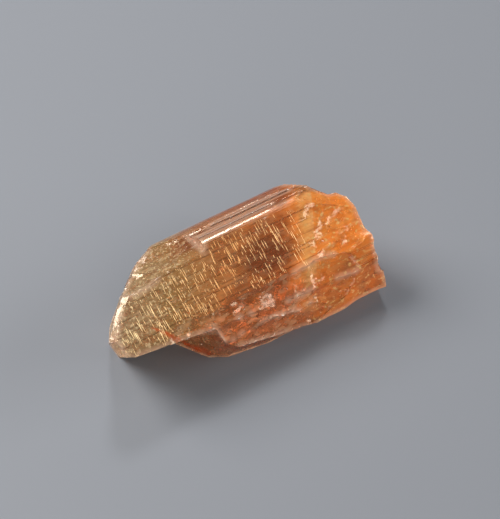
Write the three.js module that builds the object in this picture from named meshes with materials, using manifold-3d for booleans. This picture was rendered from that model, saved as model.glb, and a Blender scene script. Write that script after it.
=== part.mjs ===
// A rough topaz crystal, lying on its side.
// Millimetres, +Z up. The c axis of the crystal, its length, runs along X.
// It rests on a flat face at z = 0. The front is -Y.
// The part is one solid: a striated prism with a chipped left end and a broken right end.

import * as THREE from 'three';
import { mergeVertices } from 'three/addons/utils/BufferGeometryUtils.js';
import Module from 'manifold-3d';

const wasm = await Module();
wasm.setup();

// ---- driving sizes ----

const BAR_FROM = -3; // where the uncut prism starts and ends along c
const BAR_TO = 17;
const CREST_Y = 0.6; // front edge of the narrow crest face
const CREST_Z = 6.45; // its height above the resting face
const CREST_WIDTH = 0.32;

// The two kinds of topaz prism face lean away from the crest by these angles, in degrees.
const M_SLOPE = 27.9;
const L_SLOPE = 46.6;

const STRIA_RISE = 0.06; // height of the growth steps that run along c
const END_RIM = 0.42; // how far the dulled rim of the left end reaches into the front face

// The faces on each side, from the crest down: slope, width, growth steps across it, and their height.
// A slope past 90 degrees turns back in under the crystal.
const FRONT_FACES = [
  { slope: M_SLOPE, width: 4.07, steps: 7, rise: 0.5 * STRIA_RISE },
  { slope: L_SLOPE, width: 1.65, steps: 4, rise: STRIA_RISE },
  { slope: 76, width: 2.5, steps: 1, rise: 0 },
  { slope: 130, width: 1.6, steps: 1, rise: 0 },
];
const BACK_FACES = [
  { slope: M_SLOPE, width: 2.2, steps: 8, rise: 1.3 * STRIA_RISE },
  { slope: L_SLOPE, width: 1.5, steps: 5, rise: STRIA_RISE },
  { slope: 72, width: 1.9, steps: 3, rise: STRIA_RISE },
  { slope: 100, width: 1.4, steps: 2, rise: STRIA_RISE },
  { slope: 128, width: 1.9, steps: 1, rise: 0 },
];

const PLATE_ROOT = 0.3; // how far a growth layer reaches down into the face it lies on
const BALL_SEGMENTS = 40; // round divisions of the ball that cuts a shell-shaped scar
const BLOCK = 40; // side of the block that stands for everything beyond a plane

// ---- helpers ----

const radians = THREE.MathUtils.degToRad;

const FRONT_NORMAL = [0, -Math.sin(radians(M_SLOPE)), Math.cos(radians(M_SLOPE))];

/** A repeatable scatter between 0 and 1, so that every build gives the same crystal. */
function scatter(index) {
  const value = Math.sin(index * 12.9898 + 4.1414) * 43758.5453;
  return value - Math.floor(value);
}

/** Turns a closed three.js geometry into a solid that can be cut and joined. */
function solidOf(geometry) {
  const bare = geometry.clone();
  bare.deleteAttribute('normal');
  bare.deleteAttribute('uv');
  const merged = mergeVertices(bare, 1e-4);
  const mesh = new wasm.Mesh({
    numProp: 3,
    vertProperties: new Float32Array(merged.attributes.position.array),
    triVerts: new Uint32Array(merged.index.array),
  });
  return new wasm.Manifold(mesh);
}

/** Turns a solid back into a three.js geometry. */
function geometryOf(solid) {
  const mesh = solid.getMesh();
  const geometry = new THREE.BufferGeometry();
  geometry.setAttribute('position', new THREE.BufferAttribute(new Float32Array(mesh.vertProperties), 3));
  geometry.setIndex(new THREE.BufferAttribute(new Uint32Array(mesh.triVerts), 1));
  return geometry;
}

/** Everything beyond the plane through `point`, on the side that `normal` points to. */
function beyond(point, normal) {
  const block = new THREE.BoxGeometry(BLOCK, BLOCK, BLOCK);
  block.translate(0, 0, BLOCK / 2);
  const outward = new THREE.Vector3(...normal).normalize();
  block.applyQuaternion(new THREE.Quaternion().setFromUnitVectors(new THREE.Vector3(0, 0, 1), outward));
  block.translate(...point);
  return solidOf(block);
}

/** Cuts the solid off flat at a plane. */
function cleave(solid, point, normal) {
  return solid.subtract(beyond(point, normal));
}

/** Dulls the edge where a flat cut meets a prism face, by a bevel that reaches `width` into the face. */
function dullEdge(solid, [point, normal], faceNormal, width) {
  const cut = new THREE.Vector3(...normal).normalize();
  const face = new THREE.Vector3(...faceNormal).normalize();
  const inFace = cut.clone().addScaledVector(face, -cut.dot(face)).normalize();
  const start = new THREE.Vector3(...point).addScaledVector(inFace, -width);
  return cleave(solid, start.toArray(), cut.add(face).toArray());
}

/** Cuts a flat-walled corner out of the solid, where it lies beyond every one of the planes. */
function breakOut(solid, ...planes) {
  const [first, ...others] = planes.map(([point, normal]) => beyond(point, normal));
  return solid.subtract(others.reduce((corner, half) => corner.intersect(half), first));
}

/**
 * Scoops a smooth hollow out of the surface at `point`, `depth` deep.
 * The ball that cuts it is `along` long and `across` wide, as half lengths, with its length along c.
 */
function scoop(solid, point, normal, [along, across], depth) {
  const ball = new THREE.SphereGeometry(1, BALL_SEGMENTS, BALL_SEGMENTS / 2);
  ball.rotateZ(Math.PI / 2); // the poles lie on c, clear of the cut
  ball.scale(along, across, across);
  const outward = new THREE.Vector3(...normal).normalize();
  const reach = Math.hypot(outward.x * along, outward.y * across, outward.z * across);
  ball.translate(...new THREE.Vector3(...point).addScaledVector(outward, reach - depth).toArray());
  return solid.subtract(solidOf(ball));
}

// ---- the prism ----

/**
 * Lays one prism face of the cross-section as a row of growth steps of uneven width.
 * `outline` ends where the face starts. `side` is -1 for the front and 1 for the back.
 */
function layFace(outline, side, { slope, width, steps, rise }, seed) {
  const start = outline[outline.length - 1];
  const angle = radians(slope);
  const along = new THREE.Vector2(side * Math.cos(angle), -Math.sin(angle));
  const outward = new THREE.Vector2(side * Math.sin(angle), Math.cos(angle));
  const shares = Array.from({ length: steps }, (_, i) => 0.35 + scatter(seed + i));
  const total = shares.reduce((sum, share) => sum + share, 0);
  let travelled = 0;
  shares.forEach((share, i) => {
    travelled += (share / total) * width;
    const lip = rise * (0.3 + 0.7 * scatter(seed + 50 + i));
    if (i < steps - 1) {
      outline.push(start.clone().addScaledVector(along, travelled - lip).addScaledVector(outward, lip));
    }
    outline.push(start.clone().addScaledVector(along, travelled));
  });
}

/** The outline across c: x is the solid's Y, y its Z. Both walks start at the crest and go down. */
function crossSection() {
  const front = [new THREE.Vector2(CREST_Y, CREST_Z)];
  const back = [new THREE.Vector2(CREST_Y + CREST_WIDTH, CREST_Z)];
  FRONT_FACES.forEach((face, i) => layFace(front, -1, face, 3 + 14 * i));
  BACK_FACES.forEach((face, i) => layFace(back, 1, face, 41 + 10 * i));
  return [...front.reverse(), ...back];
}

/** The uncut prism, stood along X and cut off level where it rests. */
function prism() {
  const shape = new THREE.Shape(crossSection());
  const bar = new THREE.ExtrudeGeometry(shape, { depth: BAR_TO - BAR_FROM, bevelEnabled: false });
  const acrossToY = new THREE.Vector3(0, 1, 0);
  const upToZ = new THREE.Vector3(0, 0, 1);
  const depthToX = new THREE.Vector3(1, 0, 0);
  bar.applyMatrix4(new THREE.Matrix4().makeBasis(acrossToY, upToZ, depthToX));
  bar.translate(BAR_FROM, 0, 0);
  return cleave(solidOf(bar), [0, 0, 0], [0, 0, -1]);
}

// ---- growth layers ----

/** A thin plate of crystal, drawn on a face from one point along c to another and tapering to both. */
function layerShape({ from, to, top, bottom }) {
  const height = top - bottom;
  const corners = [
    [from, bottom + 0.7 * height],
    [from + 0.9 * height, bottom + 0.1 * height],
    [from + 0.45 * (to - from), bottom],
    [to - 1.6 * height, bottom + 0.25 * height],
    [to, bottom + 0.6 * height],
    [to - 0.25 * height, top - 0.1 * height],
    [from + 0.3 * (to - from), top],
  ];
  return new THREE.Shape(corners.map(([x, y]) => new THREE.Vector2(-x, y)));
}

/**
 * Lays growth layers on the back m face. They stand proud of it by their rise and end in low ledges.
 * `from` and `to` are places along c. `top` and `bottom` are measured up the face from the crest's edge.
 */
function growLayers(solid) {
  const slope = radians(M_SLOPE);
  const up = new THREE.Vector3(0, -Math.cos(slope), Math.sin(slope)); // towards the crest
  const outward = new THREE.Vector3(0, Math.sin(slope), Math.cos(slope));
  const againstC = new THREE.Vector3(-1, 0, 0);
  const frame = new THREE.Matrix4().makeBasis(againstC, up, outward);
  const layers = [
    { from: 5.6, to: 12.0, top: -0.3, bottom: -0.75, rise: 0.09 },
    { from: 7.9, to: 13.8, top: -1.1, bottom: -1.6, rise: 0.12 },
  ];
  return layers.reduce((grown, layer) => {
    const depth = PLATE_ROOT + layer.rise;
    const plate = new THREE.ExtrudeGeometry(layerShape(layer), { depth, bevelEnabled: false });
    plate.translate(0, 0, -PLATE_ROOT);
    plate.applyMatrix4(frame);
    plate.translate(0, CREST_Y + CREST_WIDTH, CREST_Z);
    return grown.add(solidOf(plate));
  }, solid);
}

// ---- the ends and the scars ----

/**
 * Roughens a break around `point` with overlapping shallow hollows, which leave ridges between them.
 * `grid` counts them up and across, and `pitch` is the way from one to the next.
 * The ball that cuts one has `radius`, and is longer along c by `stretch`.
 */
function hackle(solid, { point, normal, grid: [rows, columns], pitch, radius, stretch = 1, depth, seed }) {
  const outward = new THREE.Vector3(...normal).normalize();
  const sideways = new THREE.Vector3(0, 0, 1).cross(outward).normalize();
  const upwards = outward.clone().cross(sideways);
  for (let row = 0; row < rows; row += 1) {
    for (let column = 0; column < columns; column += 1) {
      const draw = (n) => scatter(seed + 31 * row + 7 * column + n) - 0.5;
      const centre = new THREE.Vector3(...point)
        .addScaledVector(sideways, pitch * (column - (columns - 1) / 2 + 0.6 * draw(1)))
        .addScaledVector(upwards, pitch * (row - (rows - 1) / 2 + 0.6 * draw(2)));
      const facing = outward
        .clone()
        .addScaledVector(sideways, 0.35 * draw(3))
        .addScaledVector(upwards, 0.35 * draw(4));
      const size = radius * (1 + 0.5 * draw(5));
      const halves = [stretch * size, size];
      solid = scoop(solid, centre.toArray(), facing.toArray(), halves, depth * (1 + draw(6)));
    }
  }
  return solid;
}

/** The left end: steep breaks behind a thin edge, a shelf with nothing under it, and a chipped crest. */
function breakLeftEnd(solid) {
  // Under the front of the left end a corner is missing, so the front face ends in a shelf.
  const underShelf = [[2.16, -3.42, 4], [-0.12, -0.77, -0.63]];
  const besideShelf = [[4.0, -2, 2], [-0.86, -0.5, -0.12]];
  const besideLower = [[5.12, -3.5, 1.2], [-0.5, -0.82, -0.35]];
  const besideLowest = [[8.2, -4.3, 1.1], [-0.13, -0.86, -0.42]];
  for (const wall of [besideShelf, besideLower, besideLowest]) solid = breakOut(solid, underShelf, wall);

  const steepBreaks = [
    [[0.82, 0.32, 6.3], [-0.62, 0.72, 0.31]],
    [[-0.77, -0.83, 5.69], [-0.69, 0.68, 0.24]],
    [[-1.3, -1.45, 5.36], [-0.84, 0.54, 0.1]],
    [[-1.62, -2.48, 4.82], [-0.95, 0.01, -0.31]],
  ];
  for (const cut of steepBreaks) {
    solid = cleave(solid, ...cut);
    solid = dullEdge(solid, cut, FRONT_NORMAL, END_RIM);
  }
  const cornerBreaks = [
    [[-1.26, -3.06, 4.51], [-0.43, -0.67, -0.61]],
    [[-0.3, 1.7, 0], [-1, 0.9, 0.35]],
    [[2.78, 1.52, 6.94], [-0.4, 0.8, 0.45]],
  ];
  solid = cornerBreaks.reduce((left, cut) => cleave(left, ...cut), solid);

  // The crest has broken away as far as the start of its bright, narrow face.
  const underCrest = [[3.5, 0.05, 6.17], [-0.04, 0.24, 0.97]];
  const endOfBreak = [[6.5, 0.8, 6.3], [-0.9, 0.1, 0.42]];
  solid = breakOut(solid, underCrest, endOfBreak);

  return [
    {
      point: [3.6, 1.3, 5.95], normal: [-0.15, 0.3, 0.93],
      grid: [2, 4], pitch: 1.2, radius: 3, stretch: 1.4, depth: 0.24, seed: 5,
    },
    {
      point: [1.2, 2.4, 2.95], normal: [-1, 0.9, 0.35],
      grid: [3, 3], pitch: 1.8, radius: 5, depth: 0.28, seed: 211,
    },
    {
      point: [-1.4, -0.95, 3.2], normal: [-0.76, 0.64, 0.11],
      grid: [2, 2], pitch: 1.6, radius: 5, depth: 0.12, seed: 307,
    },
    {
      point: [1.1, -1.5, 2.1], normal: [-0.12, -0.77, -0.63],
      grid: [2, 2], pitch: 1.4, radius: 3, depth: 0.15, seed: 401,
    },
  ].reduce(hackle, solid);
}

/** The right end: a steep break that steps back behind the crest, its rim rounded and lumpy. */
function breakRightEnd(solid) {
  const behindCrest = [[14, 0.5, 6.4], [0.1, 0.95, 0.3]];
  const backBreak = [[15.1, 1.2, 6.2], [0.8, 0.6, 0.35]];
  solid = breakOut(solid, behindCrest, backBreak);

  const bevels = [
    [[17.0, -4, 1], [1, 0.02, 0]],
    [[17.15, -1.6, 5.2], [0.95, 0.1, 0.25]],
    [[17.3, -0.55, 5.8], [0.8, 0.5, 0.3]],
    [[16.3, 0.9, 2], [0.8, 0.6, 0]],
    [[15.2, -0.2, 5.88], [0.29, -0.1, 0.95]],
  ];
  solid = bevels.reduce((left, bevel) => cleave(left, ...bevel), solid);

  // Two bites set the smooth front corner apart from the break above it.
  solid = scoop(solid, [16.8, -4.2, 2.95], [0.9, -0.3, 0.3], [0.5, 0.7], 0.28);
  solid = scoop(solid, [17.0, -3.7, 3.7], [1, -0.2, 0.15], [1.1, 1.3], 0.36);
  return [
    {
      point: [14.6, -1.9, 5.15], normal: [0.12, -0.45, 0.88],
      grid: [3, 3], pitch: 1.15, radius: 2.4, stretch: 1.7, depth: 0.13, seed: 11,
    },
    {
      point: [17.05, -2.2, 1.4], normal: [1, 0.05, 0.02],
      grid: [3, 3], pitch: 1.6, radius: 5, depth: 0.2, seed: 503,
    },
    {
      point: [15.7, 1.9, 2.3], normal: [0.8, 0.6, 0.05],
      grid: [3, 3], pitch: 1.6, radius: 5, depth: 0.32, seed: 601,
    },
  ].reduce(hackle, solid);
}

/**
 * Splits flakes off a face in rows. Each leaves a long shell-shaped hollow that meets the next in a ridge.
 * A row holds the hollows' line along c, the way they face, their half lengths and their depth.
 */
function flakeOff(solid, rows) {
  rows.forEach(({ from, to, count, y, z, facing, size, depth }, row) => {
    for (let i = 0; i < count; i += 1) {
      const seed = 97 * row + 13 * i;
      const x = from + ((to - from) * (i + 0.7 * (scatter(seed) - 0.5))) / Math.max(count - 1, 1);
      const swell = 0.75 + 0.5 * scatter(seed + 1);
      const lean = 0.3 * (scatter(seed + 2) - 0.5);
      const rise = 0.35 * (scatter(seed + 3) - 0.5);
      const normal = [lean, facing[0], facing[1] + rise];
      solid = scoop(solid, [x, y, z + rise], normal, [size[0] * swell, size[1] * swell], depth * swell);
    }
  });
  return solid;
}

/** The flaked lower front, the underside's front edge, and the lower back. */
function flake(solid) {
  return flakeOff(solid, [
    {
      from: 4.2, to: 13.3, count: 7, y: -3.45, z: 4.05,
      facing: [-0.75, 0.66], size: [3.6, 2.2], depth: 0.2,
    },
    {
      from: 5.6, to: 12.8, count: 6, y: -4.1, z: 3.2,
      facing: [-0.92, 0.35], size: [3.4, 1.9], depth: 0.22,
    },
    {
      from: 5.0, to: 12.4, count: 6, y: -4.35, z: 2.2,
      facing: [-0.97, 0.15], size: [3.4, 1.8], depth: 0.2,
    },
    {
      from: 6.5, to: 15, count: 4, y: -4.3, z: 0.7,
      facing: [-0.8, -0.6], size: [4.2, 1.6], depth: 0.14,
    },
    {
      from: 5.5, to: 13.5, count: 5, y: 4.4, z: 2.4,
      facing: [1, 0.2], size: [4.0, 2.4], depth: 0.25,
    },
    {
      from: 4.5, to: 13, count: 5, y: 3.9, z: 0.7,
      facing: [0.8, -0.5], size: [3.6, 2.0], depth: 0.2,
    },
  ]);
}

function crystal() {
  const steps = [growLayers, breakLeftEnd, breakRightEnd, flake];
  return steps.reduce((solid, step) => step(solid), prism());
}

/** Puts the origin in the middle of the crystal's box, on the level that it rests on. */
function setDown(geometry) {
  geometry.computeBoundingBox();
  const { min, max } = geometry.boundingBox;
  return geometry.translate(-(min.x + max.x) / 2, -(min.y + max.y) / 2, -min.z);
}

const material = new THREE.MeshStandardMaterial({ color: 0xc07a3c, roughness: 0.18, metalness: 0 });
const stone = new THREE.Mesh(setDown(geometryOf(crystal())), material);
stone.name = 'topaz_crystal';

const group = new THREE.Group();
group.add(stone);

export default group;
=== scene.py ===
# %% [markdown]
# # A rough topaz crystal
#
# The object is one natural crystal of orange topaz, lying on its side. It is a prism with fine growth
# lines along its length, chipped and pale at the left end, broken and deep orange at the right end.
# The solid comes from the CAD model. This lesson gives it its surface, its clear body and the small cracks
# that glitter in it. Sizes in the code are in millimetres, and turned into metres where a mesh is made.

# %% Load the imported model
import math

import bpy
import numpy as np
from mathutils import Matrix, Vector, noise
from mathutils.kdtree import KDTree


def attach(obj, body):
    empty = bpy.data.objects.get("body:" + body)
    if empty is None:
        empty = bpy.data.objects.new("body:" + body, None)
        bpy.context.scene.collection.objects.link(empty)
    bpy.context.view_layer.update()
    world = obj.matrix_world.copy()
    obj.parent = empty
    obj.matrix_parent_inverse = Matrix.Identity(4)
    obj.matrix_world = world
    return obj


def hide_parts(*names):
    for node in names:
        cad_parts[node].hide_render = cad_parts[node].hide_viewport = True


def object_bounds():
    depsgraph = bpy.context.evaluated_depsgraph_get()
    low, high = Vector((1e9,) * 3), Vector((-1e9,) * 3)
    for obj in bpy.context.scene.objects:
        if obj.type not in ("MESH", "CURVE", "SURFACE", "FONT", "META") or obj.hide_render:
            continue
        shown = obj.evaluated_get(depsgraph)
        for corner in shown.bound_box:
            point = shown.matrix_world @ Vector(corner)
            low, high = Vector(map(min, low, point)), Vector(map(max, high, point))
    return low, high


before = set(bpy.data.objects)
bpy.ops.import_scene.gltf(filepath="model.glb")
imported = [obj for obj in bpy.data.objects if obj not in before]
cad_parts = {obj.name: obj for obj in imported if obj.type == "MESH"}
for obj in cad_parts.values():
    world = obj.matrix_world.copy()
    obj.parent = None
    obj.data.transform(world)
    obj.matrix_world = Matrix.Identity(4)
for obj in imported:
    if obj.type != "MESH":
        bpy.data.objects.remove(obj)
cad_low, cad_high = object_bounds()
MM = 0.001
print("CAD box in mm:", [round(v / MM, 2) for v in (*cad_low, *cad_high)])

# %% [markdown]
# ## Helpers
#
# Colours are easiest to read as the hex values of a paint program, but a shader works with linear light.
# One function turns the first into the second. Another adds a node, sets it and links it in one line, so
# that a material reads from top to bottom like a recipe. Many nodes hold several sockets of one name, for
# numbers, vectors and colours, and switch on only those that fit their settings. So the helper looks for
# the socket that is in use. A third function puts points and faces into an object.


# %% Colour, node and mesh helpers
def linear(hex_code, alpha=1.0):
    parts = [int(hex_code[i : i + 2], 16) / 255 for i in (1, 3, 5)]
    return (*[c / 12.92 if c <= 0.04045 else ((c + 0.055) / 1.055) ** 2.4 for c in parts], alpha)


def in_use(sockets, key=None):
    """The socket of that number or name that is switched on, or the first one that is."""
    if isinstance(key, int):
        return sockets[key]
    return next(socket for socket in sockets if socket.enabled and key in (None, socket.name))


def add(tree, kind, inputs=None, **settings):
    """Adds a node. An input is a plain value, or the socket or node that feeds it."""
    node = tree.nodes.new(kind)
    for name, value in settings.items():
        setattr(node, name, value)
    for key, value in (inputs or {}).items():
        socket = in_use(node.inputs, key)
        if isinstance(value, bpy.types.Node):
            value = in_use(value.outputs)
        if isinstance(value, bpy.types.NodeSocket):
            tree.links.new(value, socket)
        else:
            socket.default_value = value
    return node


def mesh_object(name, verts, faces, material=None):
    mesh = bpy.data.meshes.new(name)
    mesh.from_pydata([tuple(v) for v in verts], [], [tuple(f) for f in faces])
    mesh.validate()
    if material:
        mesh.materials.append(material)
    made = bpy.data.objects.new(name, mesh)
    bpy.context.scene.collection.objects.link(made)
    return made


# %% [markdown]
# ## Camera
#
# The crystal is seen from its front left, fifty degrees above the floor, through a long lens. A long lens
# from far away keeps the prism's edges nearly parallel. The small shift moves the picture, not the camera,
# so the crystal sits a little off the middle without any change in its perspective.

# %% Camera
CAMERA_AZIMUTH = math.radians(32.5)
CAMERA_HEIGHT = math.radians(50)
CAMERA_DISTANCE = 110 * MM
AIM = Vector((0.791, 0.132, 3.0)) * MM
FOCAL_LENGTH = 120.86
SHIFT = (0.0283, 0.0273)
line_of_sight = Vector(
    (
        math.sin(CAMERA_AZIMUTH) * math.cos(CAMERA_HEIGHT),
        math.cos(CAMERA_AZIMUTH) * math.cos(CAMERA_HEIGHT),
        -math.sin(CAMERA_HEIGHT),
    )
)
camera_data = bpy.data.cameras.new("camera")
camera_data.lens = FOCAL_LENGTH
camera_data.clip_start = 1 * MM
camera_data.clip_end = 2.0
camera_data.shift_x, camera_data.shift_y = SHIFT
camera = bpy.data.objects.new("camera", camera_data)
camera.location = AIM - line_of_sight * CAMERA_DISTANCE
camera.rotation_euler = line_of_sight.to_track_quat("-Z", "Y").to_euler()
bpy.context.scene.collection.objects.link(camera)
bpy.context.scene.camera = camera
print("camera at", [round(v / MM, 1) for v in camera.location], "mm")

# %% [markdown]
# ## Floor
#
# The crystal lies on a plain board. A clear stone takes on the colour of what is under it, so the board is
# a calm, pale grey, and matte enough to hold a soft shadow. One square is all it needs.

# %% Floor
FLOOR_HALF_SIDE = 0.4
UNDER_THE_STONE = 0.02 * MM
board = bpy.data.materials.new("pale matte board")
board.use_nodes = True
board_shader = board.node_tree.nodes["Principled BSDF"]
board_shader.inputs["Base Color"].default_value = linear("#696B6F")
board_shader.inputs["Roughness"].default_value = 0.6
floor_corners = [
    (x * FLOOR_HALF_SIDE, y * FLOOR_HALF_SIDE, -UNDER_THE_STONE)
    for x, y in ((-1, -1), (1, -1), (1, 1), (-1, 1))
]
floor = mesh_object("floor", floor_corners, [(0, 1, 2, 3)], board)
print("floor side in mm:", round(2 * FLOOR_HALF_SIDE / MM))

# %% [markdown]
# ## Light
#
# A crystal is drawn by what it reflects and by what shines through it, so the lights are soft panels, not
# points. A small one stands behind the crystal like a window, where the narrow crest face mirrors it as a
# white line. A larger one, behind and to the left, shines through the stone and throws its shadow forwards.
# Two wide, low panels in front fill the lower faces without lighting the floor much, because their light
# only grazes it.


# %% Lights and sky
def panel(name, direction, distance, size, power, colour="#FFFFFF"):
    """A soft square light that looks at the crystal from `direction`. Sizes are in metres."""
    data = bpy.data.lights.new(name, "AREA")
    data.shape = "SQUARE"
    data.size = size
    data.energy = power
    data.color = linear(colour)[:3]
    light = bpy.data.objects.new(name, data)
    towards = Vector(direction).normalized()
    light.location = towards * distance
    light.rotation_euler = towards.to_track_quat("Z", "Y").to_euler()
    bpy.context.scene.collection.objects.link(light)
    return light


panel("window behind", (0.345, 0.56, 0.75), 0.3, 0.055, 0.24, "#F4F8FF")
panel("soft box at the back left", (-0.6, 0.75, 0.85), 0.3, 0.18, 1.7)
panel("low fill at the front left", (-0.6, -0.85, 0.45), 0.5, 0.4, 1.4)
panel("low fill at the front right", (0.85, -0.45, 0.25), 0.5, 0.4, 3.4)

world = bpy.data.worlds.new("studio")
bpy.context.scene.world = world
world.use_nodes = True
sky = world.node_tree.nodes["Background"]
sky.inputs["Color"].default_value = linear("#E8ECF2")
sky.inputs["Strength"].default_value = 0.2

# %% [markdown]
# ## Light paths
#
# Light that enters a clear stone is turned many times before it leaves again. With too few bounces the
# stone would turn black inside. The clamp keeps single very bright paths from leaving white dots.

# %% Light paths
scene = bpy.context.scene
scene.view_settings.view_transform = "Standard"
scene.cycles.use_denoising = True
scene.cycles.max_bounces = 24
scene.cycles.transmission_bounces = 20
scene.cycles.glossy_bounces = 8
scene.cycles.sample_clamp_indirect = 3
print("bounces:", scene.cycles.max_bounces, "of which through the stone:", scene.cycles.transmission_bounces)

# %% [markdown]
# ## The crystal's solid
#
# The CAD mesh is loose triangles, so a copy is read and its doubled points are merged. The copy can then be
# refined, while the CAD object itself stays as it is.


# %% Read and merge the CAD mesh
def merged_copy(source):
    """The CAD node's points in millimetres, each only once, and its triangles."""
    mesh = source.data
    points = np.empty(len(mesh.vertices) * 3)
    mesh.vertices.foreach_get("co", points)
    mesh.calc_loop_triangles()
    corners = np.empty(len(mesh.loop_triangles) * 3, np.int64)
    mesh.loop_triangles.foreach_get("vertices", corners)
    points = points.reshape(-1, 3) / MM
    _, first, index = np.unique(np.round(points, 4), axis=0, return_index=True, return_inverse=True)
    faces = index.reshape(-1)[corners].reshape(-1, 3)
    solid = (faces[:, 0] != faces[:, 1]) & (faces[:, 1] != faces[:, 2]) & (faces[:, 2] != faces[:, 0])
    return points[first], faces[solid]


cad_points, cad_faces = merged_copy(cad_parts["topaz_crystal"])
print("merged CAD mesh:", len(cad_points), "points,", len(cad_faces), "triangles")

# %% [markdown]
# ## Grown faces and broken faces
#
# A crystal has two kinds of surface. Where it grew, the faces run along its length and carry fine straight
# lines. Where it broke, the surface is curved like the inside of a shell, lumpy and a little frosted.
# The CAD mesh tells them apart: a grown face's normal has no part along X. The risers between growth steps,
# here called ledges, run along X too, but they are steeper than the prism face that they lie on.


# %% Sort the faces
def face_normals(points, faces):
    """Each face's normal, as long as twice the face's area, and that length."""
    corner = points[faces]
    flat = np.cross(corner[:, 1] - corner[:, 0], corner[:, 2] - corner[:, 0])
    return flat, np.linalg.norm(flat, axis=1)


# From the crest down, a prism has an m face, an l face and an upright side on each flank.
M_SLOPE, L_SLOPE, SIDE_SLOPE = 27.9, 46.6, 90
M_ENDS_AT, L_ENDS_AT = 4.6, 3.4
LEDGE_STEEPER_BY = 22
NEARLY_ZERO = 0.002

cad_flat, cad_area = face_normals(cad_points, cad_faces)
cad_normal = cad_flat / np.maximum(cad_area, 1e-12)[:, None]
middle_z = cad_points[cad_faces].mean(1)[:, 2]
on_l_or_side = np.where(middle_z > L_ENDS_AT, L_SLOPE, SIDE_SLOPE)
expected = np.where(middle_z > M_ENDS_AT, M_SLOPE, on_l_or_side)
lean = np.degrees(np.arctan2(np.abs(cad_normal[:, 1]), cad_normal[:, 2]))
along = np.abs(cad_normal[:, 0]) < NEARLY_ZERO
is_ledge = along & (lean > expected + LEDGE_STEEPER_BY) & (middle_z > L_ENDS_AT)
is_grown = (along & ~is_ledge).astype(float)
print("CAD faces:", int(is_grown.sum()), "grown,", int(is_ledge.sum()), "ledges")

# %% [markdown]
# ## Sharp edges
#
# Two things depend on how near an edge is. A crack in a face ends at the face's edge, and worn edges are
# frosted and pale, with a painted edge highlight. So the sharp edges are sampled as rows of points, and a
# search tree finds the nearest one. Edges at a ledge are left out, because a crack runs on under such a low
# step.


# %% Find the sharp edges
def sharp_edge_points(points, faces, normal, angle, step, skip):
    """Points every `step` along the edges where two faces meet at more than `angle`. Skips marked faces."""
    sides = np.sort(faces[:, [[0, 1], [1, 2], [2, 0]]], axis=2).reshape(-1, 2)
    owner = np.repeat(np.arange(len(faces)), 3)
    order = np.lexsort((sides[:, 1], sides[:, 0]))
    sides, owner = sides[order], owner[order]
    twin = (sides[:-1] == sides[1:]).all(1)
    bend = (normal[owner[:-1]] * normal[owner[1:]]).sum(1)
    chosen = twin & (bend < math.cos(angle)) & ~skip[owner[:-1]] & ~skip[owner[1:]]
    found = []
    for a, b in sides[:-1][chosen]:
        count = max(2, int(np.linalg.norm(points[a] - points[b]) / step) + 1)
        found.append(points[a] + (points[b] - points[a]) * np.linspace(0, 1, count)[:, None])
    return np.vstack(found)


def distance_to(targets, points):
    tree = KDTree(len(targets))
    for i, p in enumerate(targets):
        tree.insert(p, i)
    tree.balance()
    return np.array([tree.find(p)[2] for p in points])


EDGE_STEP = 0.1
TICK_EDGE = math.radians(25)
WORN_EDGE = math.radians(46)
edge_points = sharp_edge_points(cad_points, cad_faces, cad_normal, TICK_EDGE, EDGE_STEP, is_ledge)
worn_edges = sharp_edge_points(cad_points, cad_faces, cad_normal, WORN_EDGE, EDGE_STEP, is_ledge)
print("sharp edges sampled at", len(edge_points), "points, worn ones at", len(worn_edges))

# %% [markdown]
# ## The stained seam
#
# Iron-rich water has left a rust-orange stain in a healed crack. It runs down the shelf to the notch, and
# then along the foot of the wall under it. A seam is a chain of points on the surface, and each point has
# a half width, because the stain widens on its way down.


# %% The stained seam
SHELF_SEAM = [
    ((-6.75, -2.0, 5.1), 0.03),
    ((-6.45, -2.27, 4.88), 0.06),
    ((-6.0, -2.7, 4.64), 0.1),
    ((-5.35, -3.27, 4.05), 0.16),
]
WALL_SEAM = [
    ((-3.95, -0.95, 0.75), 0.12),
    ((-3.8, -1.32, 0.42), 0.2),
    ((-3.49, -1.87, 0.39), 0.28),
    ((-3.06, -2.62, 0.5), 0.34),
]
SEAM_FADES_AT = 1.6


def seam_share(points):
    """1 on a seam's line, and 0 from a little beyond its half width."""
    share = np.zeros(len(points))
    for seam in (SHELF_SEAM, WALL_SEAM):
        for (start, thin), (end, wide) in zip(seam, seam[1:]):
            start, way = np.array(start), np.array(end) - np.array(start)
            t = np.clip(((points - start) @ way) / (way @ way), 0, 1)
            gap = np.linalg.norm(points - start - t[:, None] * way, axis=1)
            share = np.maximum(share, np.clip(SEAM_FADES_AT - gap / (thin + t * (wide - thin)), 0, 1))
    return share


print("CAD points in the seam:", int((seam_share(cad_points) > 0).sum()))


# %% [markdown]
# ## Small triangles
#
# The CAD solid is made of large flat triangles. Before it can carry fine relief it needs small ones, and its
# flat faces have to stay flat and its edges crisp. A subdivision surface would round them off, so every edge
# that is too long is cut in half instead, again and again. Growth lines are fine across the crystal but long
# along it, so away from the ends an edge between grown faces may be four times as long that way. The face
# underneath needs little detail, and the narrow seam needs more.


# %% How long an edge counts
LONGEST = 0.21
ALONG_GROWTH = 0.25
PLAIN_STRETCH = (-5.5, 7.0)
UNDERNEATH_COUNTS = 0.4
SEAM_COUNTS = 2.5


def counted_lengths(points, edges, smooth):
    """An edge's length in millimetres, less where coarse triangles do and more where fine ones are needed."""
    one, other = points[edges[:, 0]], points[edges[:, 1]]
    middle, way = (one + other) / 2, one - other
    smooth = smooth & (middle[:, 0] > PLAIN_STRETCH[0]) & (middle[:, 0] < PLAIN_STRETCH[1])
    way[smooth, 0] *= ALONG_GROWTH
    underneath = (one[:, 2] < 0.001) & (other[:, 2] < 0.001)
    weight = np.where(underneath, UNDERNEATH_COUNTS, 1.0)
    weight[seam_share(middle) > 0] = SEAM_COUNTS
    return np.linalg.norm(way, axis=1) * weight


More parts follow.
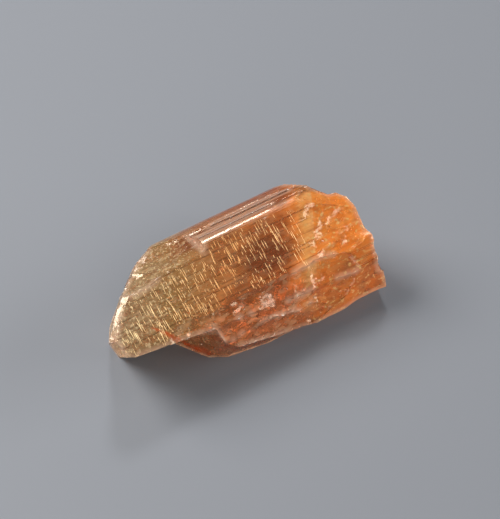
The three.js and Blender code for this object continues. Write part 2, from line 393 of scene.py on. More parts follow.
# %% Cut the long edges in half
def split_faces(faces, mid):
    """The triangles that faces fall into when the sides that have a middle point are cut there.

    A face's fourth number, its CAD triangle, is kept.
    """
    count = (mid >= 0).sum(1)
    result = [faces[count == 0]]

    def cut_up(chosen, first, *triangles):
        """Turns the chosen faces so that corner `first` leads, and adds the triangles they fall into."""
        turn = (first[chosen][:, None] + np.arange(3)) % 3
        a, b, c = np.take_along_axis(faces[chosen, :3], turn, 1).T
        p, q, r = np.take_along_axis(mid[chosen], turn, 1).T
        corner = {"a": a, "b": b, "c": c, "p": p, "q": q, "r": r}
        for triangle in triangles:
            result.append(np.stack([*[corner[k] for k in triangle], faces[chosen, 3]], 1))

    cut_side = np.argmax(mid >= 0, axis=1)
    cut_up(count == 1, cut_side, "apc", "pbc")
    whole_side = np.argmax(mid < 0, axis=1) + 1
    cut_up(count == 2, whole_side, "pbq", "apq", "aqc")
    cut_up(count == 3, whole_side, "apr", "pbq", "rqc", "pqr")
    return np.vstack(result)


def halve_long_edges(points, faces, longest, most_faces=600000):
    """Cuts each edge that counts as longer than `longest` in half until none is left."""
    while len(faces) < most_faces:
        sides = np.sort(faces[:, [[0, 1], [1, 2], [2, 0]]], axis=2).reshape(-1, 2)
        edges, index = np.unique(sides, axis=0, return_inverse=True)
        index = index.reshape(-1)
        broken_sides = np.bincount(index, np.repeat(is_grown[faces[:, 3]] == 0, 3), len(edges))
        cut = counted_lengths(points, edges, broken_sides == 0) > longest
        if not cut.any():
            return points, faces
        number = np.full(len(edges), -1)
        number[cut] = len(points) + np.arange(cut.sum())
        points = np.vstack([points, (points[edges[cut, 0]] + points[edges[cut, 1]]) / 2])
        faces = split_faces(faces, number[index].reshape(-1, 3))
    raise RuntimeError("the triangles don't get small enough")


faces_with_parent = np.hstack([cad_faces, np.arange(len(cad_faces))[:, None]])
points, faces = halve_long_edges(cad_points, faces_with_parent, LONGEST)
parents, faces = faces[:, 3], faces[:, :3]
print("refined mesh:", len(points), "points,", len(faces), "triangles")

# %% [markdown]
# ## What each point is
#
# The relief and the material need to know, at each point, which way is out, how much of the surface there
# is grown, and whether it lies on a worn rim or in the seam. A point takes the share of the faces around it,
# so one kind of surface fades into the other over a single triangle.


# %% Values at the points
def gather(faces, values, size):
    """The sum, at each point, of the values of the faces around it."""
    total = np.zeros((size, *values.shape[1:]))
    for i in range(3):
        np.add.at(total, faces[:, i], values)
    return total


RIM_WIDTH = 0.3
flat, area = face_normals(points, faces)
normals = gather(faces, flat, len(points))
normals /= np.maximum(np.linalg.norm(normals, axis=1, keepdims=True), 1e-12)
grown_area = area * is_grown[parents]
grown = gather(faces, grown_area, len(points)) / np.maximum(gather(faces, area, len(points)), 1e-12)
to_edge = distance_to(edge_points, points)
# How near a worn edge is, for the frost and the painted edge highlight.
rim = np.exp(-((distance_to(worn_edges, points) / RIM_WIDTH) ** 2))
vein = seam_share(points)
print("share of the surface that is grown:", round(float(grown_area.sum() / area.sum()), 2))

# %% [markdown]
# ## Fine relief
#
# Smooth random noise is pushed into the surface, never out of it, so the crystal stays inside its CAD box.
# On grown faces the noise is stretched along the crystal and becomes fine growth lines. On broken faces it
# gives lumps and a finer grain. The resting face is only roughened, and stays where it touches the floor.


# %% Push the relief in
def fractal(point, stretch, octaves=3, shift=0.0):
    """Smooth random height from about 0 to 1. A larger stretch makes finer detail along that axis."""
    at = Vector((point[0] * stretch[0] + shift, point[1] * stretch[1], point[2] * stretch[2]))
    return 0.5 + 0.5 * noise.fractal(at, 0.8, 2.0, octaves, noise_basis="PERLIN_ORIGINAL")


STRIA_DEPTH = 0.03
MAIN_FACE_DEPTH = 0.012
LUMP_DEPTH = 0.1
GRAIN_DEPTH = 0.035
REST_DEPTH = 0.03
on_main_face = np.clip((-normals[:, 1] - 0.3) / 0.1, 0, 1)
depth = np.zeros(len(points))
for i, (p, g, main) in enumerate(zip(points, grown, on_main_face)):
    if p[2] < 0.01:
        grown[i] = 0.0
        depth[i] = REST_DEPTH * max(0.0, fractal(p, (1.5, 2.5, 2.5)) - 0.35)
        continue
    depth[i] = (STRIA_DEPTH + (MAIN_FACE_DEPTH - STRIA_DEPTH) * main) * g * fractal(p, (0.12, 4.0, 4.0))
    if g < 1:
        lumps = fractal(p, (0.8, 1.3, 1.3), octaves=2, shift=7.0)
        grain = fractal(p, (2.6, 3.8, 3.8), shift=19.0)
        depth[i] += (1 - g) * (LUMP_DEPTH * lumps + GRAIN_DEPTH * grain)
flat_points = points
points = np.clip(points - normals * depth[:, None], np.array(cad_low) / MM, np.array(cad_high) / MM)
print("relief up to", round(float(depth.max()), 3), "mm deep")

# %% [markdown]
# ## Crisp edges
#
# Smooth shading hides the small triangles, but it would also round off the crystal's real edges. So an edge
# that lies on an edge of the CAD mesh is marked as sharp where the two CAD triangles bend enough. Between
# grown faces a small bend counts, because growth steps are low. On broken faces only a clear one does.


# %% Mark the sharp edges
GROWN_BEND, BROKEN_BEND = 12, 30


def mark_sharp_edges(mesh, faces, parents):
    """Marks the edges of the refined mesh that lie on a bend of the CAD mesh."""
    sides = np.sort(faces[:, [[0, 1], [1, 2], [2, 0]]], axis=2).reshape(-1, 2)
    code = sides[:, 0] * len(mesh.vertices) + sides[:, 1]
    owner = np.repeat(parents, 3)
    order = np.argsort(code, kind="stable")
    code, owner = code[order], owner[order]
    twin = np.flatnonzero(code[:-1] == code[1:])
    one, other = owner[twin], owner[twin + 1]
    bend = np.degrees(np.arccos(np.clip((cad_normal[one] * cad_normal[other]).sum(1), -1, 1)))
    both_grown = (is_grown[one] + is_grown[other]) > 1
    sharp_codes = code[twin][bend > np.where(both_grown, GROWN_BEND, BROKEN_BEND)]
    ends = np.empty(len(mesh.edges) * 2, np.int64)
    mesh.edges.foreach_get("vertices", ends)
    ends = np.sort(ends.reshape(-1, 2), axis=1)
    is_sharp = np.isin(ends[:, 0] * len(mesh.vertices) + ends[:, 1], sharp_codes)
    attribute = mesh.attributes.get("sharp_edge") or mesh.attributes.new("sharp_edge", "BOOLEAN", "EDGE")
    attribute.data.foreach_set("value", is_sharp)
    print("sharp edges:", int(is_sharp.sum()))


# %% [markdown]
# ## Topaz
#
# Topaz is a clear silicate with a refractive index of 1.62. Its colour comes from the whole body, so light is
# absorbed along its way. This crystal is full of cracks that are too small to model, and they throw part of
# the light back before it has crossed the stone. So a little over half of the light goes through the
# surface, and the surface colour scatters the rest. Its reflections are a little warm.

# %% The clear body
topaz = bpy.data.materials.new("rough topaz")
topaz.use_nodes = True
tree = topaz.node_tree
body = tree.nodes["Principled BSDF"]
body.inputs["IOR"].default_value = 1.62
body.inputs["Transmission Weight"].default_value = 0.55
body.inputs["Specular Tint"].default_value = linear("#FFE8CC")
absorb = add(tree, "ShaderNodeVolumeAbsorption", {"Color": linear("#F0AA66"), "Density": 150.0})
tree.links.new(absorb.outputs["Volume"], tree.nodes["Material Output"].inputs["Volume"])
print("the clear body lets", body.inputs["Transmission Weight"].default_value, "of the light in")

# %% [markdown]
# ## Steps of a colour recipe
#
# The colour is built up in layers, as a painter would. A layer needs a colour, a value such as a noise, the
# two limits between which the layer fades in, how strong it gets there, and where on the crystal it may be.
# Places are counted in millimetres, so a noise's numbers are waves to the millimetre. Fewer of them along
# the crystal than across it draw a pattern out along the growth lines.


# %% Places and patterns
def millimetres(tree):
    """Object coordinates in millimetres."""
    place = add(tree, "ShaderNodeTexCoord").outputs["Object"]
    return add(tree, "ShaderNodeMapping", {"Vector": place, "Scale": (1 / MM,) * 3})


def slanted_place(tree, place):
    """The place along the crystal, counted on planes that lean a little against its length."""
    straight = add(tree, "ShaderNodeVectorMath", {0: place, 1: (1, -0.55, 0)}, operation="DOT_PRODUCT")
    return add(tree, "ShaderNodeMath", {0: straight, 1: -1.1}, operation="ADD")


def pattern(tree, place, waves, detail=3.0):
    """A noise from about 0.3 to 0.7, with so many waves to the millimetre along each axis."""
    stretched = add(tree, "ShaderNodeMapping", {"Vector": place, "Scale": waves})
    return add(tree, "ShaderNodeTexNoise", {"Vector": stretched, "Scale": 1.0, "Detail": detail})


# %% Shares and layers
def share_of(tree, value, limits, shares=(0.0, 1.0), where=None):
    """A share that runs through `shares` while the value crosses the limits, times the share `where`."""
    ranges = {"From Min": limits[0], "From Max": limits[1], "To Min": shares[0], "To Max": shares[1]}
    share = add(tree, "ShaderNodeMapRange", {"Value": value, **ranges})
    if where is None:
        return share
    return add(tree, "ShaderNodeMath", {0: share, 1: where}, operation="MULTIPLY")


def lay(tree, under, colour, value, limits=(0.0, 1.0), shares=(0.0, 1.0), where=None):
    """Lays a colour over the one under it, with a share worked out as in `share_of`."""
    share = share_of(tree, value, limits, shares, where)
    return add(tree, "ShaderNodeMix", {"Factor": share, "A": under, "B": colour}, data_type="RGBA")


def along_crystal(tree, x, stops):
    """A colour that changes along the crystal. A stop is a place in millimetres and a colour, in order."""
    first, last = stops[0][0], stops[-1][0]
    ramp = add(tree, "ShaderNodeValToRGB", {"Fac": share_of(tree, x, (first, last))})
    elements = ramp.color_ramp.elements
    elements.remove(elements[1])
    for i, (at, colour) in enumerate(stops):
        position = (at - first) / (last - first)
        element = elements.new(position) if i else elements[0]
        element.position = position
        element.color = linear(colour)
    return ramp


# %% [markdown]
# ## Colour along the crystal
#
# The crystal is olive and pale at the left, copper in the middle and strong orange at the right. Towards
# the right the orange is brighter than the stone's own colour, a painted glow for the light that shines
# through it, and one bright band where the orange begins is painted glow too. Zones of growth end on
# slanted planes, so the ramp reads a place that is counted on such planes. The last two stops share one
# place, which ends the bright band on a crisp line.

# %% Zones
ZONES = [
    (-9.3, "#A88C68"),
    (-5.0, "#A47C48"),
    (-1.0, "#C47C42"),
    (3.0, "#CC7034"),
    # From here on the stops are a painted glow, brighter than the stone's own orange.
    (4.0, "#FF9440"),
    (4.7, "#FFB460"),
    (5.4, "#FFB468"),
    (5.4, "#FF983C"),
]
place = millimetres(tree)
x = slanted_place(tree, place)
colour = along_crystal(tree, x, ZONES)
print("zones:", len(ZONES), "stops")

# %% [markdown]
# ## Clouds
#
# The middle of the crystal holds darker, redder clouds, and one large one lies beside the orange end. They
# are partly the stone's own colour and partly painted shade, for the dark that is seen through the stone.
# The large one is the distance to its centre, made uneven with noise so that it isn't a ball. Where both
# meet, the stronger one wins, so they don't add up to black.

# %% Dark clouds, partly painted shade
CLOUD_CENTRE = (0.6 * 2.2, -1.3, 5.2)
CLOUD_SCALE = (0.6, 1, 1)
middle = share_of(tree, x, (-4.5, -1.0), where=share_of(tree, x, (4.2, 3.4)))
clouds = share_of(tree, pattern(tree, place, (0.5, 0.9, 0.9)), (0.42, 0.6), (0.0, 0.5), middle)
squeezed = add(tree, "ShaderNodeMapping", {"Vector": place, "Scale": CLOUD_SCALE})
to_centre = add(tree, "ShaderNodeVectorMath", {0: squeezed, 1: CLOUD_CENTRE}, operation="DISTANCE")
uneven = pattern(tree, place, (0.8, 1.4, 1.4))
near = add(tree, "ShaderNodeMath", {0: to_centre, 1: uneven}, operation="ADD")
large_cloud_and_painted_shade = share_of(tree, near, (2.2, 1.3), (0.0, 0.8))
clouds_and_painted_shade = add(tree, "ShaderNodeMath", {0: clouds, 1: large_cloud_and_painted_shade}, operation="MAXIMUM")
# The clouds' dark colour is partly painted shade.
colour = lay(tree, colour, linear("#642C16"), clouds_and_painted_shade)
print("nodes with the clouds:", len(tree.nodes))

# %% [markdown]
# ## Front, right end and back
#
# The flaked lower front is paler, with light scattered back from many small splits. The right end is orange
# with deeper clouds and golden grains. The light that its countless tiny cracks send through it is painted
# into that orange as a glow, and the golden grains are partly the stone's own and partly a painted
# highlight. The back is a deeper, redder brown, drawn out in fine streaks along the growth lines. A weak
# trace of the streaks is everywhere.

# %% The flaked front
axes = add(tree, "ShaderNodeSeparateXYZ", {"Vector": place}).outputs
front = share_of(tree, axes["Y"], (-2.9, -3.5), where=share_of(tree, x, (-5.0, -3.5)))
splits = pattern(tree, place, (0.5, 1.2, 1.2))
colour = lay(tree, colour, linear("#AC6434"), splits, (0.34, 0.6), (0.35, 0.95), front)

# %% The lit right end
right_end = share_of(tree, x, (4.2, 5.2))
deep = pattern(tree, place, (0.7, 0.9, 0.9))
colour = lay(tree, colour, linear("#F88020"), deep, (0.45, 0.62), (0.0, 0.6), right_end)
# Golden grains, partly a painted highlight.
golden = pattern(tree, place, (3.6, 4.2, 4.2), detail=4.0)
colour = lay(tree, colour, linear("#FFD080"), golden, (0.58, 0.66), (0.0, 0.9), right_end)

# %% The streaked back
back = share_of(tree, axes["Y"], (1.0, 1.25), where=share_of(tree, x, (-5.5, -4.5)))
colour = lay(tree, colour, linear("#8E4422"), back, shares=(0.0, 0.55))
streaks = pattern(tree, place, (0.12, 7.0, 7.0), detail=2.0)
streaked = share_of(tree, back, (0.0, 1.0), (0.15, 0.6))
colour = lay(tree, colour, linear("#6E321A"), streaks, (0.5, 0.36), where=streaked)
colour = lay(tree, colour, linear("#D89A68"), streaks, (0.56, 0.68), (0.0, 0.6), streaked)
print("nodes with the front, the right end and the back:", len(tree.nodes))

# %% [markdown]
# ## Cracks too fine to model
#
# Small pale-gold cracks lie just under the surface, thickest at the left end. Noise with six or seven waves
# to the millimetre gives their grains. A coarser noise darkens the stone between them.

# %% Pale grains and the shade between them
left_end = share_of(tree, x, (-1.5, -6.0), (0.1, 1.0))
grains = pattern(tree, place, (7.0, 6.0, 6.0), detail=4.0)
colour = lay(tree, colour, linear("#FFE3AE"), grains, (0.54, 0.68), (0.0, 0.75), left_end)
colour = lay(tree, colour, linear("#8A4A26"), pattern(tree, place, (1.6, 2.4, 2.4)), (0.3, 0.5), (0.4, 0.0))
print("nodes with the fine cracks:", len(tree.nodes))

# %% [markdown]
# ## Tiny facets
#
# Each tiny facet of a broken or cracked stretch takes the light in its own way, and here that is painted
# into the colour. A Voronoi texture cuts the surface into cells, and gives each cell a random colour. One
# part of that colour gives some cells painted shade, another gives some a painted highlight. On grown faces
# there is less of it, except near the two cracked ends.

# %% Facets in the colour, as painted light and shade
FACETS = (2.2, 4.4, 4.4)
facet_place = add(tree, "ShaderNodeMapping", {"Vector": place, "Scale": FACETS})
cells = add(tree, "ShaderNodeTexVoronoi", {"Vector": facet_place, "Scale": 1.0}).outputs
tone = add(tree, "ShaderNodeSeparateColor", {"Color": cells["Color"]}).outputs
grown_share = add(tree, "ShaderNodeAttribute", attribute_name="grown").outputs["Fac"]
from_middle = add(tree, "ShaderNodeMath", {0: x}, operation="ABSOLUTE")
at_ends = share_of(tree, from_middle, (3.0, 5.0), (0.25, 0.7))
faceted = add(tree, "ShaderNodeMix", {"Factor": grown_share, "A": 0.8, "B": at_ends}, data_type="FLOAT")
painted_shade_facet = lay(tree, linear("#8A4420"), linear("#D46A1C"), right_end)
colour = lay(tree, colour, painted_shade_facet, tone[0], (0.55, 1.0), (0.0, 0.35), faceted)
painted_highlight_facet = lay(tree, linear("#FFDCA8"), linear("#FFC070"), right_end)
colour = lay(tree, colour, painted_highlight_facet, tone[1], (0.6, 1.0), (0.0, 0.3), faceted)
print("facets in a millimetre, along each axis:", FACETS)

# %% [markdown]
# ## Ledges, worn rims and the seam
#
# A ledge is a step in the growth, worn matte, and it looks paler than the faces above and below it because
# its colour is lifted with painted light, which offsets the dark that its steep sides show. Worn rims are
# frosted pale, with a painted edge highlight in the same pale colour, and the seam is stained rust-orange,
# here more and there less. Noise can't know where these are, so the shader reads the values that are stored
# at the mesh's points.

# %% Layers that follow the shape
ledge = add(tree, "ShaderNodeAttribute", attribute_name="ledge").outputs["Fac"]
frost_and_painted_edge_highlight = add(tree, "ShaderNodeAttribute", attribute_name="rim").outputs["Fac"]
stained = add(tree, "ShaderNodeAttribute", attribute_name="vein").outputs["Fac"]
blotches = pattern(tree, place, (3.0, 3.0, 3.0))
# Painted light: the ledges are lifted paler than they would show.
colour = lay(tree, colour, linear("#E8AC78"), ledge, shares=(0.0, 0.35))
# Worn rims: frosted, and partly a painted edge highlight.
colour = lay(tree, colour, linear("#FFD9B8"), frost_and_painted_edge_highlight, (0.2, 1.0), (0.0, 0.4))
colour = lay(tree, colour, linear("#D2581E"), blotches, (0.35, 0.6), (0.55, 0.95), stained)
tree.links.new(in_use(colour.outputs), body.inputs["Base Color"])
print("nodes with the whole colour:", len(tree.nodes))

# %% [markdown]
# ## Gloss
#
# Grown faces are naturally glossy, broken ones a little frosted, and both vary from place to place. Ledges
# are matte. The crest is worn too: all of it towards the right, and elsewhere in the streaks, which break
# the white reflection there into lines.

# %% Roughness
LEDGE_ROUGHNESS, CREST_ROUGHNESS, STREAK_ROUGHNESS = 0.5, 0.34, 0.45
polish = pattern(tree, place, (3.0, 3.0, 3.0))
frosted = share_of(tree, polish, (0.35, 0.7), (0.08, 0.3))
polished = share_of(tree, polish, (0.3, 0.7), (0.04, 0.12))
rough = add(tree, "ShaderNodeMix", {"Factor": grown_share, "A": frosted, "B": polished}, data_type="FLOAT")
on_crest = share_of(tree, axes["Z"], (6.36, 6.4))
worn = share_of(tree, x, (2.0, 2.5), where=on_crest)
lined = share_of(tree, streaks, (0.44, 0.54), where=on_crest)
for share, roughness in ((ledge, LEDGE_ROUGHNESS), (worn, CREST_ROUGHNESS), (lined, STREAK_ROUGHNESS)):
    rough = add(tree, "ShaderNodeMix", {"Factor": share, "A": rough, "B": roughness}, data_type="FLOAT")
tree.links.new(in_use(rough.outputs), body.inputs["Roughness"])
print("nodes with the gloss:", len(tree.nodes))

# %% [markdown]
# ## Lines and facets too fine for the mesh
#
# The finest relief is a bump, which only bends the light and costs no triangles. On grown faces it is fine
# lines along the crystal. On broken ones each facet leans its own way: its height grows from the middle of
# its cell towards a random side.

# %% Bump
FACET_HEIGHT = 5.0
lines = pattern(tree, place, (0.25, 9.0, 9.0))
from_centre = add(tree, "ShaderNodeVectorMath", {0: facet_place, 1: cells["Position"]}, operation="SUBTRACT")
way = add(tree, "ShaderNodeVectorMath", {0: cells["Color"], 1: (0.5, 0.5, 0.5)}, operation="SUBTRACT")
leaning = add(tree, "ShaderNodeVectorMath", {0: from_centre, 1: way}, operation="DOT_PRODUCT")
facets = add(tree, "ShaderNodeMath", {0: leaning, 1: FACET_HEIGHT}, operation="MULTIPLY")
heights = add(tree, "ShaderNodeMix", {"Factor": grown_share, "A": facets, "B": lines}, data_type="FLOAT")
bump = add(tree, "ShaderNodeBump", {"Height": heights, "Strength": 0.6, "Distance": 0.02 * MM})
tree.links.new(bump.outputs["Normal"], body.inputs["Normal"])
print("nodes in the topaz material:", len(tree.nodes))

# %% [markdown]
# ## The finished crystal
#
# The refined points and triangles become one mesh in metres, which takes the place of the CAD node. The
# values at its points and faces are stored as attributes, where the material finds them by name.

# %% The crystal
crystal = mesh_object("crystal", points * MM, faces, topaz)
for name, domain, values in (
    ("grown", "POINT", grown),
    ("rim", "POINT", rim),
    ("vein", "POINT", vein),
    ("ledge", "FACE", is_ledge[parents].astype(float)),
):
    attribute = crystal.data.attributes.new(name, "FLOAT", domain)
    attribute.data.foreach_set("value", values)
crystal.data.shade_smooth()
mark_sharp_edges(crystal.data, faces, parents)
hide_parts("topaz_crystal")
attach(crystal, "root")

# %% [markdown]
# ## Cracks
#
# Topaz splits easily square across its length. Where such a split has only begun, its open end shows on the
# face as a short pale line, and deeper inside it glitters as a small flake of air. Both repeat hundreds of
# times over a surface, so Geometry Nodes scatter them. Their colour follows the crystal's, from pale gold at
# the left to peach.

# %% The crack finish
CRACK_ZONES = [(-9.3, "#FFE6B0"), (0.0, "#FFBE78"), (0.0, "#FFD094")]
crack = bpy.data.materials.new("open cleavage crack")
crack.use_nodes = True
crack_tree = crack.node_tree
crack_body = crack_tree.nodes["Principled BSDF"]
crack_body.inputs["Roughness"].default_value = 0.3
crack_place = millimetres(crack_tree)
crack_colour = along_crystal(crack_tree, slanted_place(crack_tree, crack_place), CRACK_ZONES)
faint = pattern(crack_tree, crack_place, (3.0, 1.2, 1.2))
crack_colour = lay(crack_tree, crack_colour, linear("#A87840"), faint, (0.4, 0.6), (0.5, 0.0))
crack_tree.links.new(in_use(crack_colour.outputs), crack_body.inputs["Base Color"])
print("nodes in the crack material:", len(crack_tree.nodes))

# %% [markdown]
# ## Two shapes
#
# There are only two shapes of crack. The open end of a split is a thin blade that stands a hair proud of the
# face, or the face would hide it. A crack inside the stone is a flat lens. Each is one millimetre wide, so
# that the scale it is scattered with is its size in millimetres.


# %% One sliver and one flake
def sliver(name, thick, deep, proud):
    """A thin blade, one millimetre long on Y, pointed at both ends, from `deep` below to `proud` above."""
    outline = [(-thick / 2, 0), (0, -0.5), (thick / 2, 0), (0, 0.5)]
    verts = [(x, y, proud) for x, y in outline] + [(x, 0.8 * y, -deep) for x, y in outline]
    sides = [(i, (i + 1) % 4, 4 + (i + 1) % 4, 4 + i) for i in range(4)]
    return mesh_object(name, np.array(verts) * MM, [(3, 2, 1, 0), (4, 5, 6, 7), *sides])


def flake(name, thick):
    """A flat six-sided lens across X, one millimetre wide."""
    ring = [(0, 0.5 * math.cos(math.radians(a)), 0.5 * math.sin(math.radians(a))) for a in range(0, 360, 60)]
    verts = [(thick / 2, 0, 0), (-thick / 2, 0, 0), *ring]
    front = [(0, 2 + i, 2 + (i + 1) % 6) for i in range(6)]
    back = [(1, 2 + (i + 1) % 6, 2 + i) for i in range(6)]
    return mesh_object(name, np.array(verts) * MM, [*front, *back])


blade = sliver("blade", 0.03, 0.1, 0.008)
lens = flake("lens", 0.03)
print("faces of a blade and a lens:", len(blade.data.polygons), len(lens.data.polygons))

# %% [markdown]
# ## One tree that scatters
#
# One tree makes every kind of crack. It spreads points over a helper surface, sinks them into the stone,
# turns the shape so that it stands square across the crystal, and tilts it a little. A crack is as long as
# chance says, mostly short, but never longer than there is room for. The tree leaves out each one that isn't
# far enough under the skin of the stone to be hidden in it. It is long, so it is put together from five
# functions, in which `given` stands for the values that come into the tree.


# %% Points, sunk into the stone
def random_value(tree, given, low, high, step, kind="FLOAT"):
    """A random value for each point. A step of its own keeps it free of the others."""
    seed = add(tree, "ShaderNodeMath", {0: given["Seed"], 1: float(step)})
    return add(tree, "FunctionNodeRandomValue", {"Seed": seed, "Min": low, "Max": high}, data_type=kind)


def sunk_points(tree, given):
    """Points spread over the surface and pushed under it, and the surface's normals there."""
    share = add(tree, "GeometryNodeInputNamedAttribute", {"Name": "share"}, data_type="FLOAT")
    density = add(tree, "ShaderNodeMath", {0: share, 1: given["Density"]}, operation="MULTIPLY")
    inputs = {"Mesh": given["Geometry"], "Density": density, "Seed": given["Seed"]}
    spread = add(tree, "GeometryNodeDistributePointsOnFaces", inputs, distribute_method="RANDOM").outputs
    sink = random_value(tree, given, given["Sink"], given["Deepest"], 1)
    inwards = add(tree, "ShaderNodeMath", {0: sink, 1: -1.0}, operation="MULTIPLY")
    offset = add(tree, "ShaderNodeVectorMath", {0: spread["Normal"], "Scale": inwards}, operation="SCALE")
    sunk = add(tree, "GeometryNodeSetPosition", {"Geometry": spread["Points"], "Offset": offset})
    return sunk, spread["Normal"]


# %% Turn and size
def turned(tree, given, normal):
    """Stands a shape on the surface, square across X, and tilts it a little at random."""
    upright = add(tree, "FunctionNodeAlignRotationToVector", {"Vector": normal}, axis="Z")
    inputs = {"Rotation": upright, "Vector": (1, 0, 0)}
    square = add(tree, "FunctionNodeAlignRotationToVector", inputs, axis="X", pivot_axis="Z")
    anyhow = random_value(tree, given, (-1, -1, -1), (1, 1, 1), 2, "FLOAT_VECTOR")
    lean = add(tree, "ShaderNodeVectorMath", {0: anyhow, "Scale": given["Tilt"]}, operation="SCALE")
    inputs = {"Rotation": square, "Rotate By": lean}
    return add(tree, "FunctionNodeRotateRotation", inputs, rotation_space="LOCAL")


def crack_size(tree, given):
    """A random length in millimetres, mostly short, and the scale for it."""
    draw = random_value(tree, given, 0.0, 1.0, 3)
    few_long = add(tree, "ShaderNodeMath", {0: draw, 1: 1.6}, operation="POWER")
    lengths = {"Factor": few_long, "A": given["Shortest"], "B": given["Longest"]}
    wished = add(tree, "ShaderNodeMix", lengths, data_type="FLOAT")
    room = add(tree, "GeometryNodeInputNamedAttribute", {"Name": "room"}, data_type="FLOAT")
    length = add(tree, "ShaderNodeMath", {0: wished, 1: room}, operation="MINIMUM")
    other = add(tree, "ShaderNodeMix", {"Factor": given["Even"], "A": 1.0, "B": length}, data_type="FLOAT")
    return length, add(tree, "ShaderNodeCombineXYZ", {"X": other, "Y": length, "Z": other})


# %% Keep only what lies deep enough
def deep_enough(tree, given, length):
    """Whether a point is further under the stone's skin than its length times the clearance."""
    stone = add(tree, "GeometryNodeObjectInfo", {"Object": given["Body"]}).outputs["Geometry"]
    nearest = add(tree, "GeometryNodeProximity", {"Geometry": stone}, target_element="FACES")
    inputs = {"Mesh": stone, "Value": add(tree, "GeometryNodeInputNormal")}
    outwards = add(tree, "GeometryNodeSampleNearestSurface", inputs, data_type="FLOAT_VECTOR")
    here = add(tree, "GeometryNodeInputPosition")
    gap = add(tree, "ShaderNodeVectorMath", {0: nearest.outputs["Position"], 1: here}, operation="SUBTRACT")
    under = add(tree, "ShaderNodeVectorMath", {0: gap, 1: outwards}, operation="DOT_PRODUCT")
    needed = add(tree, "ShaderNodeMath", {0: length, 1: given["Clearance"]}, operation="MULTIPLY")
    inputs = {0: under, 1: needed}
    return add(tree, "FunctionNodeCompare", inputs, data_type="FLOAT", operation="GREATER_THAN")


# %% The whole tree
TREE_INPUTS = {
    "Geometry": "Geometry",
    "Shape": "Object",
    "Finish": "Material",
    "Density": "Float",
    "Shortest": "Float",
    "Longest": "Float",
    "Sink": "Float",
    "Deepest": "Float",
    "Tilt": "Float",
    "Even": "Float",
    "Body": "Object",
    "Clearance": "Float",
    "Seed": "Int",
}


def scatter_tree():
    """The tree that scatters a shape over a surface. `Even` is 1 for a shape that grows in all directions."""
    tree = bpy.data.node_groups.new("scatter across the length", "GeometryNodeTree")
    tree.interface.new_socket("Geometry", in_out="OUTPUT", socket_type="NodeSocketGeometry")
    for label, kind in TREE_INPUTS.items():
        tree.interface.new_socket(label, in_out="INPUT", socket_type=f"NodeSocket{kind}")
    given = add(tree, "NodeGroupInput").outputs
    sunk, normal = sunk_points(tree, given)
    length, scale = crack_size(tree, given)
    shape = add(tree, "GeometryNodeObjectInfo", {"Object": given["Shape"]}).outputs["Geometry"]
    inputs = {"Points": sunk, "Selection": deep_enough(tree, given, length), "Instance": shape}
    inputs.update({"Rotation": turned(tree, given, normal), "Scale": scale})
    placed = add(tree, "GeometryNodeInstanceOnPoints", inputs)
    real = add(tree, "GeometryNodeRealizeInstances", {"Geometry": placed})
    finished = add(tree, "GeometryNodeSetMaterial", {"Geometry": real, "Material": given["Finish"]})
    add(tree, "NodeGroupOutput", {"Geometry": finished})
    return tree


scatter = scatter_tree()
print("nodes in the scattering tree:", len(scatter.nodes))


# %% Run the tree
def run_tree(name, base, tree, **values):
    """Runs a tree on an object once and keeps the result as a plain mesh of its own."""
    modifier = base.modifiers.new("nodes", "NODES")
    modifier.node_group = tree
    sockets = {item.name: item.identifier for item in tree.interface.items_tree if item.in_out == "INPUT"}
    for label, value in values.items():
        modifier[sockets[label]] = value
    graph = bpy.context.evaluated_depsgraph_get()
    mesh = bpy.data.meshes.new_from_object(base.evaluated_get(graph))
    base.modifiers.remove(modifier)
    mesh.name = name
    made = bpy.data.objects.new(name, mesh)
    bpy.context.scene.collection.objects.link(made)
    print(name, "has", len(mesh.polygons), "faces")
    return made


# %% [markdown]
# ## Where the cracks are
#
# Each kind of crack is scattered over a bed, a helper surface made of some of the crystal's triangles
# without their relief. At each point the bed says how thickly to scatter and how much room there is, so that
# no crack crosses a sharp edge. The beds and the two shapes are removed in the end. Cracks come in clumps,
# so one coarse noise is shared by all four kinds. Densities are pieces to the square metre.


# %% A bed for the cracks
def bed_for(name, chosen, share):
    """A helper surface of the chosen triangles, with how thickly to scatter and how much room there is."""
    made = mesh_object(name, flat_points * MM, faces[chosen])
    room = np.maximum(1.5 * to_edge - 0.03, 0.02)
    for label, values in (("share", np.clip(share, 0, 1)), ("room", room)):
        attribute = made.data.attributes.new(label, "FLOAT", "POINT")
        attribute.data.foreach_set("value", values)
    return made


face_normal = cad_normal[parents]
face_middle = flat_points[faces].mean(1)
upper = (face_normal[:, 2] > 0.3) | (face_normal[:, 1] < -0.3)
place_x = flat_points[:, 0]
clumps = np.array([fractal(p, (0.9, 1.8, 1.8), octaves=2, shift=31.0) for p in flat_points])
print("triangles that can be seen from above or in front:", int(upper.sum()))

# %% [markdown]
# ## Open ends of splits
#
# The open ends are thickest on the main face, and go on over the crest towards the right. They lie in the
# skin, all equally deep, and none is tilted, because a split follows one plane of the crystal.

# %% Pale lines square to the length
SKIN = 0.009 * MM
front_face = (face_normal[:, 2] > 0.6) & (face_normal[:, 1] < -0.2)
front_face &= (is_grown[parents] > 0) & (face_middle[:, 0] < 5.0)
crest_face = (face_normal[:, 2] > 0.99) & (face_middle[:, 2] > 6.3) & (face_middle[:, 0] > 2.6)
tick_bed = bed_for("tick_bed", front_face | crest_face, (clumps - 0.2) / 0.35)
ticks = run_tree(
    "cleavage_ticks",
    tick_bed,
    scatter,
    Shape=blade,
    Finish=crack,
    Density=13e6,
    Shortest=0.1,
    Longest=1.15,
    Sink=SKIN,
    Deepest=SKIN,
    Tilt=0.0,
    Even=0.0,
    Body=crystal,
    Clearance=-1.0,
    Seed=4,
)

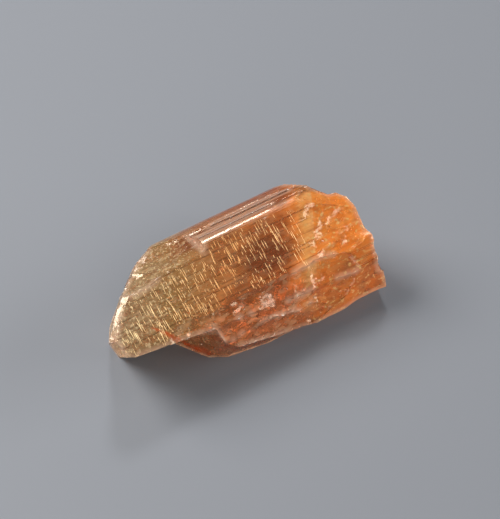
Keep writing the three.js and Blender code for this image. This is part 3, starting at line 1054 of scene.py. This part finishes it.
# %% [markdown]
# ## Cracks inside
#
# The left end is so full of tiny cracks that it looks granular. Further in lie fewer and larger flakes,
# mostly towards the two ends. Both are lenses, tilted by chance and sunk deep enough to stay hidden.

# %% Grains of the left end
pale_end = np.clip((-3.0 - place_x) / 2.5, 0, 1) * (clumps > 0.3)
grain_bed = bed_for("grain_bed", upper, pale_end)
grains_left = run_tree(
    "granular_cracks",
    grain_bed,
    scatter,
    Shape=lens,
    Finish=crack,
    Density=14e6,
    Shortest=0.05,
    Longest=0.22,
    Sink=0.05 * MM,
    Deepest=0.4 * MM,
    Tilt=0.9,
    Even=1.0,
    Body=crystal,
    Clearance=0.5 * MM,
    Seed=15,
)

# %% Inner flakes
both_ends = np.clip((np.abs(place_x - 0.5) - 2.0) / 3.0, 0.15, 1) * (clumps > 0.45)
flake_bed = bed_for("flake_bed", upper, both_ends)
flakes = run_tree(
    "inner_flakes",
    flake_bed,
    scatter,
    Shape=lens,
    Finish=crack,
    Density=4e6,
    Shortest=0.1,
    Longest=0.4,
    Sink=0.15 * MM,
    Deepest=1.0 * MM,
    Tilt=0.6,
    Even=1.0,
    Body=crystal,
    Clearance=0.5 * MM,
    Seed=9,
)

# %% [markdown]
# ## Glints
#
# Just under the broken faces lie small, nearly white flakes, smoother than the cracks: a painted highlight
# for cracks that face the light and flash. Near an edge there are none, and none low down, where little light
# comes.

# %% The glints' finish
glint = bpy.data.materials.new("painted glint flakes")
glint.use_nodes = True
glint_tree = glint.node_tree
glint_body = glint_tree.nodes["Principled BSDF"]
glint_body.inputs["Roughness"].default_value = 0.15
warmth = pattern(glint_tree, millimetres(glint_tree), (2, 2, 2))
# Painted highlight: the glints are nearly white.
glint_colour = lay(glint_tree, linear("#FFFFFF"), linear("#FFE9B8"), warmth, (0.35, 0.65))
glint_tree.links.new(in_use(glint_colour.outputs), glint_body.inputs["Base Color"])
print("nodes in the glint material:", len(glint_tree.nodes))

# %% Scatter the glints
broken = (1 - grown) * (to_edge > 0.12) * (flat_points[:, 2] > 1.0)
glint_bed = bed_for("glint_bed", upper, broken * np.clip((clumps - 0.4) / 0.3, 0, 1))
glints = run_tree(
    "glints",
    glint_bed,
    scatter,
    Shape=lens,
    Finish=glint,
    Density=5e6,
    Shortest=0.05,
    Longest=0.2,
    Sink=0.03 * MM,
    Deepest=0.12 * MM,
    Tilt=0.8,
    Even=1.0,
    Body=crystal,
    Clearance=0.1 * MM,
    Seed=23,
)

# %% [markdown]
# ## Finish
#
# All cracks belong to the stone, so they share its material slot and its body. The helpers are removed, and
# the box of everything that is seen is written down beside the box of the CAD model.

# %% Join the cracks to the stone
for piece in (ticks, grains_left, flakes, glints):
    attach(piece, "root")
for helper in (tick_bed, grain_bed, flake_bed, glint_bed, blade, lens):
    bpy.data.objects.remove(helper)
print("pieces:", [crystal.name, ticks.name, grains_left.name, flakes.name, glints.name])
